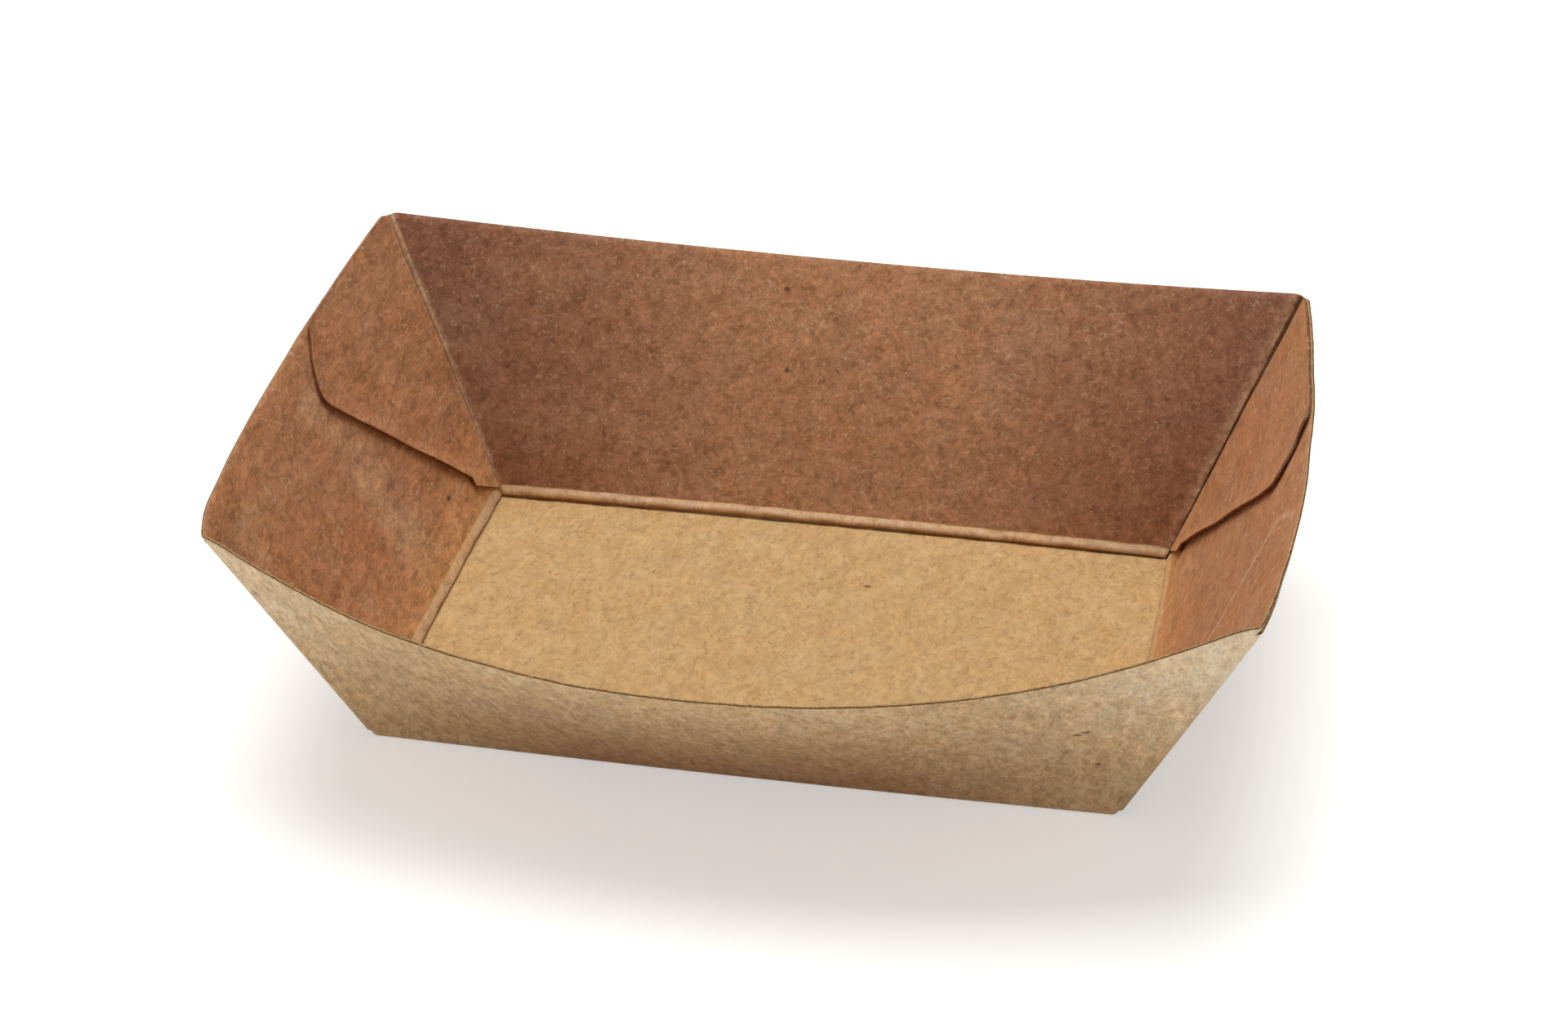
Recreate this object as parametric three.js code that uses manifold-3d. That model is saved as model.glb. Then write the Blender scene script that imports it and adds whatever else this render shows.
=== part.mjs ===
// Paper food tray: one sheet of kraft board, creased, folded up on four sides and glued at its corners.
// Millimetres, +Z up. X runs along the tray, -Y is its front, and the underside lies on Z = 0.

import * as THREE from 'three';
import { mergeVertices } from 'three/addons/utils/BufferGeometryUtils.js';
import Module from 'manifold-3d';

const wasm = await Module();
wasm.setup();

// The sheet
const board = 0.45;
const glueBite = 0.1; // how far a glued layer is pressed into the layer that carries it

// The base panel, from crease to crease
const baseLength = 107;
const baseWidth = 66.5;
const sideCreaseBow = 0.4; // how far the long creases run outwards at mid-length
const endCreaseBow = 0.3;

// The rim, from corner to corner
const rimLength = 144.5;
const rimWidth = 92;
const rimHeight = 42.2;
const cornerLift = 0.9; // the tray is a little twisted: one diagonal pair of corners stands higher
const cornerSplay = 1; // and the same pair stands further out

// How far the middle of each rim bows outwards, and how far it sags below its corners
const sideBow = 15;
const backSag = 9.4;
const frontSag = 10.4;
const endBow = 2.9;
const endSag = 1.8;
const sideBowPower = 2.2; // 2 is a parabola, more is flatter in the middle
const endBowPower = 2;

// The die-cut rounding of the rim at each corner: how far along the rim it starts, how deep it ends
const frontCorner = { reach: 4, depth: 2 };
const backCorner = { reach: 2.2, depth: 0.8 };

// The creases stand up as beads on the inside of the fold
const sideBead = { width: 1.6, height: 0.5 };
const endBead = { width: 1.4, height: 0.3 };
const foldBeadRadius = 0.35;

// The flaps, seen from the end: Y is measured back from the rim corner or the base corner, Z is a height
const backFlap = {
  rimReach: 35.2, // along the rim to the cut edge
  tipReach: 43.4, // to the corner between the cut edge and the foot
  tipHeight: 33.2,
  tipRadius: 3,
  stepReach: 6.3, // the foot ends in a small step beside the base corner
  stepHeight: 6.8,
  stepDepth: 1.4,
  rimGap: 0, // how far the flap stops below the rim
};
const frontFlap = {
  rimReach: 33,
  tipReach: 39,
  tipHeight: 34.6,
  tipRadius: 3,
  stepReach: 5.4,
  stepHeight: 5.6,
  stepDepth: 1.2,
  rimGap: 1.4,
};

// Facets
const sideStations = 20;
const endStations = 10;
const cornerStations = 3;
const wallRows = 4;
const beadRows = 6;
const curveFacets = 4;

const kraft = new THREE.MeshStandardMaterial({ color: 0xa9794f, roughness: 0.85, metalness: 0 });

function evenSteps(from, to, count) {
  return Array.from({ length: count + 1 }, (_, i) => from + ((to - from) * i) / count);
}

function basePoint(sx, sy) {
  return new THREE.Vector3((sx * baseLength) / 2, (sy * baseWidth) / 2, board / 2);
}

function rimPoint(sx, sy) {
  const diagonal = -sx * sy;
  const x = sx * (rimLength / 2 + diagonal * cornerSplay);
  return new THREE.Vector3(x, (sy * rimWidth) / 2, rimHeight + diagonal * cornerLift);
}

const corners = {
  backLeft: { base: basePoint(-1, 1), rim: rimPoint(-1, 1), rounding: backCorner },
  backRight: { base: basePoint(1, 1), rim: rimPoint(1, 1), rounding: backCorner },
  frontRight: { base: basePoint(1, -1), rim: rimPoint(1, -1), rounding: frontCorner },
  frontLeft: { base: basePoint(-1, -1), rim: rimPoint(-1, -1), rounding: frontCorner },
};

// A wall is ruled from its crease to its rim. u runs along it, clockwise round the tray from above,
// and v climbs from the crease to the rim.
class Wall {
  constructor({ from, to, outward, creaseBow, bow, sag, power, bead, count }) {
    Object.assign(this, { from, to, outward: new THREE.Vector3(...outward), creaseBow, bow, sag, power, bead });
    this.rimRun = from.rim.distanceTo(to.rim);
    this.slant = from.base.distanceTo(from.rim);
    const first = from.rounding.reach / this.rimRun;
    const last = 1 - to.rounding.reach / this.rimRun;
    this.stations = [
      ...evenSteps(0, first, cornerStations),
      ...evenSteps(first, last, count).slice(1, -1),
      ...evenSteps(last, 1, cornerStations),
    ];
  }

  // How far the rim is cut down towards a corner
  drop(corner, distance) {
    const inside = Math.max(0, 1 - distance / corner.rounding.reach);
    return corner.rounding.depth * inside * inside;
  }

  surface(u, v) {
    const s = Math.abs(2 * u - 1);
    const lower = this.from.base.clone().lerp(this.to.base, u);
    lower.addScaledVector(this.outward, this.creaseBow * (1 - s * s));
    const upper = this.from.rim.clone().lerp(this.to.rim, u);
    upper.addScaledVector(this.outward, this.bow * (1 - s ** this.power));
    upper.z -= this.sag * (1 - s ** this.power);
    const cut = this.drop(this.from, u * this.rimRun) + this.drop(this.to, (1 - u) * this.rimRun);
    return lower.lerp(upper, v * (1 - cut / this.slant));
  }

  // The direction across the sheet, towards the inside of the tray
  inward(u, v) {
    const step = 1e-4;
    const along = this.surface(u + step, v).sub(this.surface(u - step, v));
    const up = this.surface(u, v + step).sub(this.surface(u, v - step));
    return along.cross(up).normalize();
  }

  point(u, v, skin) {
    return this.surface(u, v).addScaledVector(this.inward(u, v), skin);
  }

  beadSkin(v) {
    const across = (2 * v * this.slant) / this.bead.width - 1;
    return this.bead.height * Math.sqrt(Math.max(0, 1 - across * across));
  }
}

const backWall = new Wall({
  from: corners.backLeft,
  to: corners.backRight,
  outward: [0, 1, 0],
  creaseBow: sideCreaseBow,
  bow: sideBow,
  sag: backSag,
  power: sideBowPower,
  bead: sideBead,
  count: sideStations,
});
const rightWall = new Wall({
  from: corners.backRight,
  to: corners.frontRight,
  outward: [1, 0, 0],
  creaseBow: endCreaseBow,
  bow: endBow,
  sag: endSag,
  power: endBowPower,
  bead: endBead,
  count: endStations,
});
const frontWall = new Wall({
  from: corners.frontRight,
  to: corners.frontLeft,
  outward: [0, -1, 0],
  creaseBow: sideCreaseBow,
  bow: sideBow,
  sag: frontSag,
  power: sideBowPower,
  bead: sideBead,
  count: sideStations,
});
const leftWall = new Wall({
  from: corners.frontLeft,
  to: corners.backLeft,
  outward: [-1, 0, 0],
  creaseBow: endCreaseBow,
  bow: endBow,
  sag: endSag,
  power: endBowPower,
  bead: endBead,
  count: endStations,
});
const walls = [backWall, rightWall, frontWall, leftWall];

// At a corner fold the two walls' skins meet on the mitre between them
function mitrePoint(wall, wallSkin, next, nextSkin, v) {
  const a = wall.inward(1, v);
  const b = next.inward(0, v);
  const c = a.dot(b);
  const alongA = (wallSkin - c * nextSkin) / (1 - c * c);
  const alongB = (nextSkin - c * wallSkin) / (1 - c * c);
  return next.surface(0, v).addScaledVector(a, alongA).addScaledVector(b, alongB);
}

function toSolid(geometry) {
  geometry.deleteAttribute('normal');
  geometry.deleteAttribute('uv');
  const merged = mergeVertices(geometry);
  const vertProperties = new Float32Array(merged.attributes.position.array);
  const triVerts = new Uint32Array(merged.index.array);
  return new wasm.Manifold(new wasm.Mesh({ numProp: 3, vertProperties, triVerts }));
}

// The section of the walls, once round: up the outside, over the rim and down the inside over the bead
function wallSection() {
  const slant = backWall.slant;
  const beadTop = Math.max(sideBead.width, endBead.width) / slant;
  const rows = evenSteps(beadTop, 1, wallRows);
  const overBead = evenSteps(0, Math.PI, beadRows).map((angle) => (beadTop * (1 - Math.cos(angle))) / 2);
  const outside = [0, ...rows.slice(1)].map((v) => ({ v, side: -1 }));
  const inside = [...overBead, ...rows.slice(1)].reverse().map((v) => ({ v, side: 1 }));
  return [...outside, ...inside, { v: 0, side: 0 }].reverse();
}

// One point of that section. At the foot, the outside runs on to the ground and the ring closes under the crease.
function sectionPoint(place, { v, side }) {
  if (side === 0) {
    const inner = place(0, 1);
    return new THREE.Vector3(inner.x, inner.y, 0);
  }
  const point = place(v, side);
  if (side < 0 && v === 0) {
    const ruling = place(1, side).sub(point);
    point.addScaledVector(ruling, -point.z / ruling.z);
    point.z = 0;
  }
  return point;
}

// The four walls are one ring: a closed section turned into a loop, with its stations moved onto the walls
function wallRing() {
  const places = walls.flatMap((wall, i) => {
    const last = walls[(i + walls.length - 1) % walls.length];
    const atFold = (v, side) => {
      const bead = side > 0 ? (last.beadSkin(v) + wall.beadSkin(v)) / 2 : 0;
      const skin = (side * board) / 2 + bead;
      return mitrePoint(last, skin, wall, skin, v);
    };
    const between = wall.stations.slice(1, -1).map((u) => (v, side) => {
      const bead = side > 0 ? wall.beadSkin(v) : 0;
      return wall.point(u, v, (side * board) / 2 + bead);
    });
    return [atFold, ...between];
  });
  const section = wallSection();
  const outline = [...section, section[0]].map((_, j) => {
    const angle = (2 * Math.PI * j) / section.length;
    return new THREE.Vector2(2 + Math.cos(angle), Math.sin(angle));
  });
  const geometry = new THREE.LatheGeometry(outline, places.length);
  const position = geometry.attributes.position;
  for (let i = 0; i < position.count; i += 1) {
    const place = places[Math.floor(i / outline.length) % places.length];
    const point = sectionPoint(place, section[(i % outline.length) % section.length]);
    position.setXYZ(i, point.x, point.y, point.z);
  }
  return toSolid(geometry);
}

function basePanel() {
  const x = baseLength / 2;
  const y = baseWidth / 2;
  const shape = new THREE.Shape();
  shape.moveTo(-x, -y);
  shape.quadraticCurveTo(0, -y - 2 * sideCreaseBow, x, -y);
  shape.quadraticCurveTo(x + 2 * endCreaseBow, 0, x, y);
  shape.quadraticCurveTo(0, y + 2 * sideCreaseBow, -x, y);
  shape.quadraticCurveTo(-x - 2 * endCreaseBow, 0, -x, -y);
  const options = { depth: board, curveSegments: sideStations, bevelEnabled: false };
  return toSolid(new THREE.ExtrudeGeometry(shape, options));
}

// A flap's outline seen from the end. sy is 1 for a back flap and -1 for a front one.
function flapOutline(flap, sy) {
  const rimY = rimWidth / 2;
  const baseY = baseWidth / 2;
  const beyond = rimY + board * 2;
  const top = rimHeight + cornerLift + board;
  const rimCut = new THREE.Vector2(rimY - flap.rimReach, top);
  const tip = new THREE.Vector2(rimY - flap.tipReach, flap.tipHeight);
  const step = new THREE.Vector2(baseY - flap.stepReach, flap.stepHeight);
  const tipStart = tip.clone().addScaledVector(rimCut.clone().sub(tip).normalize(), flap.tipRadius);
  const tipEnd = tip.clone().addScaledVector(step.clone().sub(tip).normalize(), flap.tipRadius);
  const shape = new THREE.Shape();
  shape.moveTo(sy * beyond, top);
  shape.lineTo(sy * rimCut.x, rimCut.y);
  shape.lineTo(sy * tipStart.x, tipStart.y);
  shape.quadraticCurveTo(sy * tip.x, tip.y, sy * tipEnd.x, tipEnd.y);
  shape.lineTo(sy * step.x, step.y);
  shape.lineTo(sy * step.x, step.y - flap.stepDepth);
  shape.lineTo(sy * baseY, board);
  shape.lineTo(sy * beyond, board);
  return shape;
}

// A second layer of the board on an end wall. side is 1 on the inside and -1 on the outside.
function flapLayer(wall, flap, side) {
  const skins = [board / 2 - glueBite, board / 2 + board].map((skin) => side * skin).sort((a, b) => a - b);
  const last = { u: wall.stations.length - 1, v: wallRows };
  const geometry = new THREE.BoxGeometry(1, 1, 1, last.u, last.v, 1);
  const position = geometry.attributes.position;
  const rimRow = 1 - flap.rimGap / wall.slant;
  for (let i = 0; i < position.count; i += 1) {
    const u = wall.stations[Math.round((position.getX(i) + 0.5) * last.u)];
    const v = (position.getY(i) + 0.5) * rimRow;
    const point = wall.point(u, v, skins[position.getZ(i) > 0 ? 1 : 0]);
    position.setXYZ(i, point.x, point.y, point.z);
  }
  return toSolid(geometry);
}

// A flap glued to an end wall: the layer, cut to the flap's outline
function gluedFlap(wall, flap, sy, side) {
  const depth = rimLength;
  const prism = new THREE.ExtrudeGeometry(flapOutline(flap, sy), {
    depth,
    curveSegments: curveFacets,
    bevelEnabled: false,
  });
  prism.rotateX(Math.PI / 2);
  prism.rotateZ(Math.PI / 2);
  prism.translate(wall.outward.x > 0 ? 0 : -depth, 0, 0);
  return flapLayer(wall, flap, side).intersect(toSolid(prism));
}

// The bead inside a back corner fold, where the long wall turns into the glued flap
function foldBead(wall, next, wallSkin, nextSkin) {
  const section = new THREE.Shape();
  section.absarc(0, 0, foldBeadRadius, 0, 2 * Math.PI);
  const low = sideBead.width / wall.slant;
  const high = 1 - (2 * foldBeadRadius) / wall.slant;
  const path = new THREE.LineCurve3(
    mitrePoint(wall, wallSkin, next, nextSkin, low),
    mitrePoint(wall, wallSkin, next, nextSkin, high),
  );
  const options = { steps: 1, curveSegments: curveFacets, extrudePath: path, bevelEnabled: false };
  return toSolid(new THREE.ExtrudeGeometry(section, options));
}

function foldTray() {
  const wallFace = board / 2;
  const flapFace = board / 2 + board;
  return [
    wallRing(),
    gluedFlap(leftWall, backFlap, 1, 1),
    gluedFlap(rightWall, backFlap, 1, 1),
    gluedFlap(leftWall, frontFlap, -1, -1),
    gluedFlap(rightWall, frontFlap, -1, -1),
    foldBead(backWall, rightWall, wallFace, flapFace),
    foldBead(leftWall, backWall, flapFace, wallFace),
  ].reduce((tray, piece) => tray.add(piece), basePanel());
}

function toMesh(solid, name, material) {
  const { vertProperties, triVerts } = solid.getMesh();
  const geometry = new THREE.BufferGeometry();
  geometry.setAttribute('position', new THREE.BufferAttribute(vertProperties, 3));
  geometry.setIndex(new THREE.BufferAttribute(triVerts, 1));
  geometry.computeVertexNormals();
  const mesh = new THREE.Mesh(geometry, material);
  mesh.name = name;
  return mesh;
}

const foodTray = new THREE.Group();
foodTray.add(toMesh(foldTray(), 'tray', kraft));

export default foodTray;
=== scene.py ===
import math

import bpy
import numpy as np
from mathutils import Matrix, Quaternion, Vector


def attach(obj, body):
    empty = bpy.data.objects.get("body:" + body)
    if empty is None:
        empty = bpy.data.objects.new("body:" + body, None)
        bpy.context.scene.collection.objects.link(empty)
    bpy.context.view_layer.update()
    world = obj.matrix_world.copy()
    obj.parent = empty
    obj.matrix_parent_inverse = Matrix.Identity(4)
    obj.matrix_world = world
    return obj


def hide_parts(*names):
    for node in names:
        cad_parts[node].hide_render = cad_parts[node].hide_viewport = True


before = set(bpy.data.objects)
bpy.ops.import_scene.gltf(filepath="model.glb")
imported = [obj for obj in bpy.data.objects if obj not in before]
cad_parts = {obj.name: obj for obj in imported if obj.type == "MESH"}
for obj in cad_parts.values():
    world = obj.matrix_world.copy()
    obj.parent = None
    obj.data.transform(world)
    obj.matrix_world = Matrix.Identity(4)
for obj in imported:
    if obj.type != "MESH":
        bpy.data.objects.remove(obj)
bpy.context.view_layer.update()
print("frame loaded")

mm = 0.001  # sizes here are in millimetres, and the mesh is made in metres
nudge = 1e-4  # of a wall's length or height, to measure its slopes with

# the folded sheet, with the part's own sizes
tray = {
    "board": 0.45,
    "baseLength": 107.0,
    "baseWidth": 66.5,
    "sideCreaseBow": 0.4,
    "endCreaseBow": 0.3,
    "rimLength": 144.5,
    "rimWidth": 92.0,
    "rimHeight": 42.2,
    "cornerLift": 0.9,
    "cornerSplay": 1.0,
    "sideBow": 15.0,
    "backSag": 9.4,
    "frontSag": 10.4,
    "endBow": 2.9,
    "endSag": 1.8,
    "sideBowPower": 2.2,
    "endBowPower": 2.0,
    "frontRounding": {"side": (5.0, 1.8), "end": (9.0, 1.8)},  # reach along the rim, depth at the fold
    "backRounding": {"side": (2.2, 0.8), "end": (2.2, 0.8)},
    "foldRadius": 0.7,  # of the board's middle, round an upright corner
    "foldRoot": 0.26,  # where the two inside faces of a corner meet
    "creaseRadius": 0.5,
    "edgeSoftness": 0.07,  # a die-cut edge is a little rounded
    "cockle": 0.07,  # how far the board waves out of flat
    "cockleLength": 26.0,
    "cockleFine": 0.35,  # a finer wave, a third as long, is this much of the first
    "stiffFoot": 12.0,  # the creases hold the board flat up to here
    "panelWave": 0.06,  # the base panel waves less, over a longer length
    "panelWaveLength": 34.0,
    "panelBorder": (2.0, 12.0),  # its wave begins this far in, and is whole this far in
}

# spacing of the mesh: fine beside folds, coarse on the open walls
spacing = {
    "besideFold": 0.14,
    "upBead": 0.1,
    "beadRun": 2.5,
    "upOutside": 0.25,
    "coarsest": 1.3,
    "widening": 1.22,
    "arcSteps": 8,
    "flapStart": [0, 0.006, 0.014, 0.024, 0.04],  # shares of the way from a flap's fold to its edge
    "flapMiddle": np.linspace(0.07, 0.95, 26),
    "flapEnd": [0.965, 0.98, 0.99, 0.996, 1],
    "flapOutline": (7, 9, 32, 5),  # points down its cut edge, round its tip, along its foot, down its step
    "sharpAngle": 50.0,  # degrees, from which an edge of the mesh is shaded sharp
}

# each kind of waviness has its own random draws
seeds = {
    "cockle": 3,
    "cockleFine": 5,
    "panel": 8,
    "beads": 11,
    "knobs": 13,
    "gap": 17,
    "trough": 19,
    "flapLift": 21,
}

# how far the inside stands proud beside a crease or a fold: (distance, height)
beads = {
    "side": [(0, -0.1), (0.22, -0.08), (0.36, 0.02), (0.44, 0.34), (0.56, 0.5), (0.8, 0.58),
             (1.2, 0.54), (1.6, 0.38), (1.95, 0.2), (2.05, 0.1), (2.12, 0)],
    "end": [(0, -0.08), (0.14, 0.0), (0.26, 0.16), (0.5, 0.25), (1.0, 0.27), (1.6, 0.17), (2.1, 0)],
    "fold": [(0.1, 0.02), (0.22, 0.16), (0.4, 0.28), (0.7, 0.28), (1.05, 0.16), (1.4, 0)],
    "waviness": 0.2,
    "waveLength": 5.5,
    "knobs": 0.4,  # the beads in the corner folds are lumpier
    "knobLength": 2.6,
    "rightFold": 1.6,  # the bead in the right-hand fold is this much wider
    "cornerTaper": 1.1,
    "cornerLeast": 0.12,  # the share of a bead's height that reaches the corner
    "foldStart": 14.0,  # the bead in a fold is whole from a fourteenth of the way up
    "gapSlope": 0.3,  # the gap under the back bead closes from left to right
    "gapWander": 0.09,
    "gapWanderLength": 1.3,  # times the beads' own wave length
}

# the trough in the base panel beside every crease: (distance in, depth)
trough = [(0.05, 0.18), (0.12, 0.17), (0.24, 0.1), (0.45, 0.03), (0.9, 0)]
troughDepth = {"side": 1.0, "end": 0.7, "right": 0.2}  # the right-hand crease is nearly flat
troughWander = 0.25

# where wear, painted light and painted shade show on the sheet, as lengths in millimetres and strengths of 0
# to 1
wearAndPaintedLight = {
    "crest": 0.36,  # a bead that stands this proud is palest, partly worn and partly painted light
    "crestsUpTo": 40.0,
    "rightCrest": 0.35,  # the right end wall's bead is hardly paled
    "foldCrest": 0.55,  # up the folds, a side wall's beads are less pale than at its foot
    "foldCrestFrom": 2.2,
    "besideRightFoldLight": (3.4, 0.34),  # painted light beside the back wall's right-hand fold: reach, strength
    # painted light up the back wall's left-hand fold, where the fold lies in shade
    "leftFoldLight": 0.7,
    # painted light along the fold of a left-hand flap
    "flapFoldLight": 0.6,
    "creaseShade": ([0.2, 0.42], [0.5, 0.0]),  # painted shade along the foot of the walls: height, strength
    "flapFoldLightAndShade": ([0.35, 0.8], [1.0, 0.0]),  # distance from the fold, strength: painted shade along a right-hand flap's fold, painted light along a left-hand one
    "rightFoldShade": 0.8,  # the share of the corner's turn that is painted dark as shade
    # painted shade in the trough beside the creases
    "troughShade": 0.5,
    "flapEdgeShadow": 0.7,  # painted shadow under a flap's cut edge, on its upper line: the lower line is wholly dark
    "wallShadeTint": ([0, 2.0, 2.25], [0.3, 0.45, 1.0]),  # height, how much it has a wall's colour, which is painted shade
}

backFlap = {
    "rimReach": 35.2,
    "tipReach": 43.4,
    "tipHeight": 33.2,
    "tipRadius": 2.7,
    "stepReach": 6.3,
    "stepHeight": 6.8,
    "stepDepth": 1.4,
    "foldInset": 0.3,
    "rimGap": 0.15,
    "seat": 0.015,  # glue between the two layers
    "lift": 0.42,  # how far its cut edge stands off the wall
    "liftReach": 6.0,
}
frontFlap = {
    "rimReach": 33.0,
    "tipReach": 39.0,
    "tipHeight": 34.6,
    "tipRadius": 3.0,
    "stepReach": 5.4,
    "stepHeight": 5.6,
    "stepDepth": 1.2,
    "foldInset": tray["foldRadius"],
    "rimGap": 1.4,
    "seat": 0.015,
    "lift": 0.12,
    "liftReach": 4.0,
}

# what both kinds of flap share
flaps = {
    "stepSlant": 0.1,
    "foldFoot": 0.03,  # a flap's fold ends this share of the way up the corner
    "liftWander": 0.3,
    "liftWanderLength": 11.0,
    "liftFromFold": 6.0,
    "foldThickness": ([0, 0.15, 0.35, 0.6], [0.05, 0.6, 0.9, 1]),  # distance from the fold, share of it
    "turnOverlap": 0.1,  # a front flap's turn reaches this far past the fold, over the front wall
    "turnSkin": 0.998,  # the hidden face of the turn lies just inside its outer face
    "endPlane": ([0, 43], [52.6, 69.5]),  # height, how far out an end wall is at least
    "wallReach": (-0.2, 1.2),  # how far past a wall's edges a flap's outline may lie
    "cutTone": 0.3,  # a front flap's cut edge is coloured as the rim is, this far across
}
noPress = 9.0  # mm, for points far from the line that a flap presses

corners = {"backLeft": (-1, 1), "backRight": (1, 1), "frontRight": (1, -1), "frontLeft": (-1, -1)}

# what each point of the mesh knows of itself, for the board's colours: on the outer face, on a wall (with the
# walls' painted shade), on an end wall, on a bead paled by wear and painted light, in painted shade, how far
# across a cut edge, how far from a pressed line
markNames = ["outside", "wall", "end", "bead", "seam", "across", "press"]


def basePoint(corner):
    sx, sy = corners[corner]
    return np.array([sx * tray["baseLength"] / 2, sy * tray["baseWidth"] / 2, tray["board"] / 2])


def rimPoint(corner):
    sx, sy = corners[corner]
    diagonal = -sx * sy
    x = sx * (tray["rimLength"] / 2 + diagonal * tray["cornerSplay"])
    return np.array([x, sy * tray["rimWidth"] / 2, tray["rimHeight"] + diagonal * tray["cornerLift"]])


def makeWall(start, end, outward, kind, sag):
    wall = {
        "outward": np.array(outward, float),
        "creaseBow": tray[kind + "CreaseBow"],
        "bow": tray[kind + "Bow"],
        "power": tray[kind + "BowPower"],
        "sag": sag,
        "bead": np.array(beads[kind], float).T,
        "trough": troughDepth[kind],
        "base": (basePoint(start), basePoint(end)),
        "rim": (rimPoint(start), rimPoint(end)),
        "rounding": [tray["frontRounding" if "front" in at else "backRounding"][kind] for at in (start, end)],
    }
    wall["baseRun"] = np.linalg.norm(wall["base"][1] - wall["base"][0])
    wall["rimRun"] = np.linalg.norm(wall["rim"][1] - wall["rim"][0])
    wall["slant"] = np.linalg.norm(wall["rim"][0] - wall["base"][0])
    return wall


# clockwise, seen from above
backWall = makeWall("backLeft", "backRight", (0, 1, 0), "side", tray["backSag"])
rightWall = makeWall("backRight", "frontRight", (1, 0, 0), "end", tray["endSag"])
frontWall = makeWall("frontRight", "frontLeft", (0, -1, 0), "side", tray["frontSag"])
leftWall = makeWall("frontLeft", "backLeft", (-1, 0, 0), "end", tray["endSag"])
rightWall["trough"] = troughDepth["right"]
walls = [backWall, rightWall, frontWall, leftWall]


def wallPoint(wall, u, v):  # on the board's middle: u runs along the wall and v climbs it
    u, v = np.broadcast_arrays(np.asarray(u, float), np.asarray(v, float))
    s = np.abs(2 * u - 1)
    along, up = u[..., None], v[..., None]
    lower = wall["base"][0] + (wall["base"][1] - wall["base"][0]) * along
    lower = lower + wall["outward"] * (wall["creaseBow"] * (1 - s**2))[..., None]
    lean = (1 - s ** wall["power"])[..., None]
    upper = wall["rim"][0] + (wall["rim"][1] - wall["rim"][0]) * along
    upper = upper + wall["outward"] * wall["bow"] * lean - np.array([0, 0, wall["sag"]]) * lean
    cut = 0
    for (reach, depth), distance in zip(wall["rounding"], (u * wall["rimRun"], (1 - u) * wall["rimRun"])):
        cut = cut + depth * np.maximum(0, 1 - distance / reach) ** 2
    return lower + (upper - lower) * up * (1 - cut / wall["slant"])[..., None]


def wallNormal(wall, u, v):  # towards the inside of the tray
    along = wallPoint(wall, u + nudge, v) - wallPoint(wall, u - nudge, v)
    up = wallPoint(wall, u, v + nudge) - wallPoint(wall, u, v - nudge)
    normal = np.cross(along, up)
    return normal / np.linalg.norm(normal, axis=-1, keepdims=True)


rippleSpread = (0.6, 1.7)  # each of its waves is that many times as close as the length asks for
rippleGain = 1.2


def ripple(points, length, seed, waves=7):  # smooth seeded noise, of about -1 to 1
    rng = np.random.default_rng(seed)
    total = 0
    for _ in range(waves):
        direction = rng.normal(size=3)
        direction /= np.linalg.norm(direction)
        pitch = 2 * math.pi * rng.uniform(*rippleSpread) / length
        total = total + np.sin(points @ direction * pitch + rng.uniform(0, 2 * math.pi))
    return total * rippleGain / math.sqrt(waves)


def cockled(points, height):  # none at the creases, and whole on the open board
    wave = ripple(points, tray["cockleLength"], seeds["cockle"])
    wave = wave + tray["cockleFine"] * ripple(points, tray["cockleLength"] / 3, seeds["cockleFine"])
    return wave * tray["cockle"] * np.clip(height / tray["stiffFoot"], 0, 1) ** 2


def bezier(a, b, c, t):
    return a * (1 - t) ** 2 + b * 2 * t * (1 - t) + c * t**2


def gradedSteps(start, end, finest, fineRun=0.0):
    places = [start]
    step = finest
    while places[-1] + step < end:
        places.append(places[-1] + step)
        if places[-1] - start > fineRun:
            step = min(step * spacing["widening"], spacing["coarsest"])
    places = np.array(places)
    return start + (places - start) * (end - start) / (places[-1] - start)


def wallStations(wall):
    half = gradedSteps(tray["foldRadius"], wall["baseRun"] / 2, spacing["besideFold"])
    both = np.concatenate([half, wall["baseRun"] - half[-2::-1]])
    return both[1:-1] / wall["baseRun"]


def ringStations():  # (wall before, wall here, kind, place): -1 to 1 in a corner, and u on an open wall
    stations = []
    for i, wall in enumerate(walls):
        for t in np.linspace(-1, 1, spacing["arcSteps"] + 1):
            stations.append((walls[i - 1], wall, "corner", t))
        for u in wallStations(wall):
            stations.append((None, wall, "open", u))
    return stations


stations = ringStations()


def onEndWall(station):
    before, here, kind, place = station
    wall = before if kind == "corner" and place < 0 else here
    return wall is leftWall or wall is rightWall


def beadHeight(wall, u, v, points):
    away = np.minimum(u, 1 - u) * wall["baseRun"]
    gap = (0.5 - u) * beads["gapSlope"] if wall is backWall else 0
    wander = ripple(points, beads["waveLength"] * beads["gapWanderLength"], seeds["gap"])
    gap = gap + beads["gapWander"] * wander
    wave = 1 + beads["waviness"] * ripple(points, beads["waveLength"], seeds["beads"])
    crease = np.interp(v * wall["slant"] - gap, *wall["bead"]) * wave
    crease = crease * np.clip(away / beads["cornerTaper"], beads["cornerLeast"], 1)
    if wall is not backWall:
        return crease
    width = np.linalg.norm(wallPoint(wall, 0, v) - wallPoint(wall, 1, v), axis=-1)
    knobs = 1 + beads["knobs"] * ripple(points, beads["knobLength"], seeds["knobs"])
    toFold = np.minimum(u, (1 - u) / beads["rightFold"]) * width
    fold = np.interp(toFold, *np.array(beads["fold"], float).T) * knobs
    return np.maximum(crease, fold * np.clip(v * beads["foldStart"], 0, 1))


def insideColumn(wall, u, v):
    normal = wallNormal(wall, u, v)
    flat = wallPoint(wall, u, v) + normal * tray["board"] / 2
    return flat + normal * beadHeight(wall, u, v, flat)[..., None]


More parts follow.
